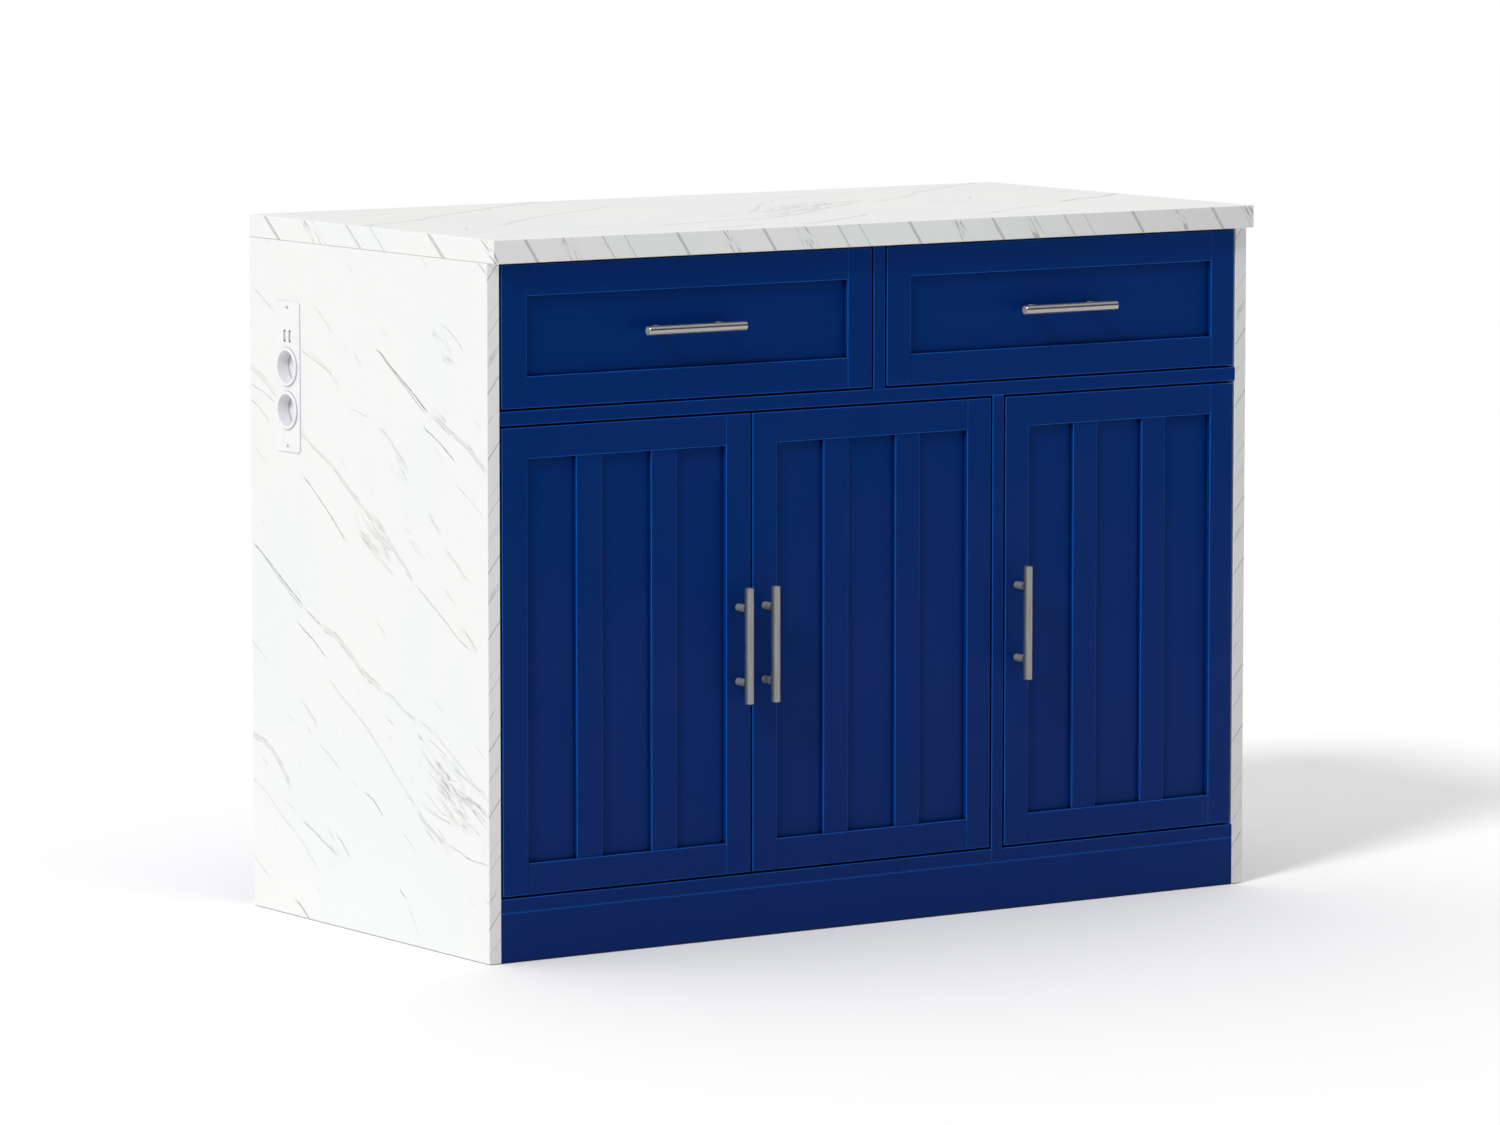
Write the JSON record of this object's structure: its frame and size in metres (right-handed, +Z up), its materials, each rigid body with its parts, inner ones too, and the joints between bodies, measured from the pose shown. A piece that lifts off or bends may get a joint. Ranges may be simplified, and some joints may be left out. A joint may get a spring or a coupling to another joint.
{
  "type": "kitchen island",
  "caption": "Kitchen island with a marble-look top and ends, navy shaker doors and drawers, bar handles, shelves inside and a power unit in one end.",
  "frame": {"origin": "middle of the overall box, on the floor", "axes": "+X to the right along the drawer fronts, +Y from the front to the back, +Z up"},
  "size_m": [1.205, 0.615, 0.917],
  "materials": {
    "marble_laminate": "satin white laminate with grey marble veins",
    "navy_board": "satin navy lacquer",
    "white_board": "matt white melamine",
    "brushed_steel": "brushed",
    "nickel_steel": "nickel plated",
    "zinc": "bright zinc plated",
    "white_plastic": "satin moulded",
    "grey_plastic": "moulded",
    "dark_plastic": "moulded",
    "nylon": "moulded"
  },
  "bodies": {
    "carcass": {"worktop": "marble_laminate", "side_panel_left": "marble_laminate", "side_panel_right": "marble_laminate", "bottom_panels": "navy_board", "cupboard_partition": "navy_board", "drawer_deck": "navy_board", "drawer_divider": "navy_board", "back_panel": "navy_board", "kick_board": "navy_board", "rear_plinth_rail": "navy_board", "top_rails": "navy_board", "shelves": "navy_board", "shelf_pins": "nickel_steel", "floor_glides": "nylon", "cam_locks": "zinc", "hinge_plates": "nickel_steel", "hinge_arms": "nickel_steel", "outlet_face_plate": "white_plastic", "outlet_housing": "dark_plastic", "outlet_sockets": "white_plastic", "usb_ports": "grey_plastic", "outlet_screws": "nickel_steel", "cable_gland": "dark_plastic", "slide_outer_members": "zinc"},
    "door_left": {"door_left_panel": "navy_board", "door_left_stiles": "navy_board", "door_left_rails": "navy_board", "door_left_battens": "navy_board", "door_left_handle": "brushed_steel", "door_left_hinge_cups": "nickel_steel"},
    "door_middle": {"door_middle_panel": "navy_board", "door_middle_stiles": "navy_board", "door_middle_rails": "navy_board", "door_middle_battens": "navy_board", "door_middle_handle": "brushed_steel", "door_middle_hinge_cups": "nickel_steel"},
    "door_right": {"door_right_panel": "navy_board", "door_right_stiles": "navy_board", "door_right_rails": "navy_board", "door_right_battens": "navy_board", "door_right_handle": "brushed_steel", "door_right_hinge_cups": "nickel_steel"},
    "drawer_left": {"drawer_left_panel": "navy_board", "drawer_left_stiles": "navy_board", "drawer_left_rails": "navy_board", "drawer_left_handle": "brushed_steel", "drawer_left_box_sides": "white_board", "drawer_left_box_ends": "white_board", "drawer_left_box_bottom": "white_board", "drawer_left_slide_inner_members": "zinc"},
    "drawer_left_runners": {"drawer_left_slide_middle_members": "zinc"},
    "drawer_right": {"drawer_right_panel": "navy_board", "drawer_right_stiles": "navy_board", "drawer_right_rails": "navy_board", "drawer_right_handle": "brushed_steel", "drawer_right_box_sides": "white_board", "drawer_right_box_ends": "white_board", "drawer_right_box_bottom": "white_board", "drawer_right_slide_inner_members": "zinc"},
    "drawer_right_runners": {"drawer_right_slide_middle_members": "zinc"}
  },
  "joints": [
    {"name": "door_left_hinge", "type": "hinge", "parent": "carcass", "child": "door_left", "pos_m": [-0.5505, -0.2655, 0.382], "axis": [0, 0, -1], "range_deg": [0, 95]},
    {"name": "door_middle_hinge", "type": "hinge", "parent": "carcass", "child": "door_middle", "pos_m": [0.1555, -0.2655, 0.382], "axis": [0, 0, 1], "range_deg": [0, 95]},
    {"name": "door_right_hinge", "type": "hinge", "parent": "carcass", "child": "door_right", "pos_m": [0.5555, -0.2655, 0.382], "axis": [0, 0, 1], "range_deg": [0, 95]},
    {"name": "drawer_left_slide", "type": "slide", "parent": "carcass", "child": "drawer_left", "axis": [0, -1, 0], "range_m": [0, 0.38]},
    {"name": "drawer_left_runner_slide", "type": "slide", "parent": "carcass", "child": "drawer_left_runners", "axis": [0, -1, 0], "range_m": [0, 0.19]},
    {"name": "drawer_right_slide", "type": "slide", "parent": "carcass", "child": "drawer_right", "axis": [0, -1, 0], "range_m": [0, 0.38]},
    {"name": "drawer_right_runner_slide", "type": "slide", "parent": "carcass", "child": "drawer_right_runners", "axis": [0, -1, 0], "range_m": [0, 0.19]}
  ],
  "couplings": [
    {"joint": "drawer_left_runner_slide", "follows": "drawer_left_slide", "ratio": 0.5},
    {"joint": "drawer_right_runner_slide", "follows": "drawer_right_slide", "ratio": 0.5}
  ]
}
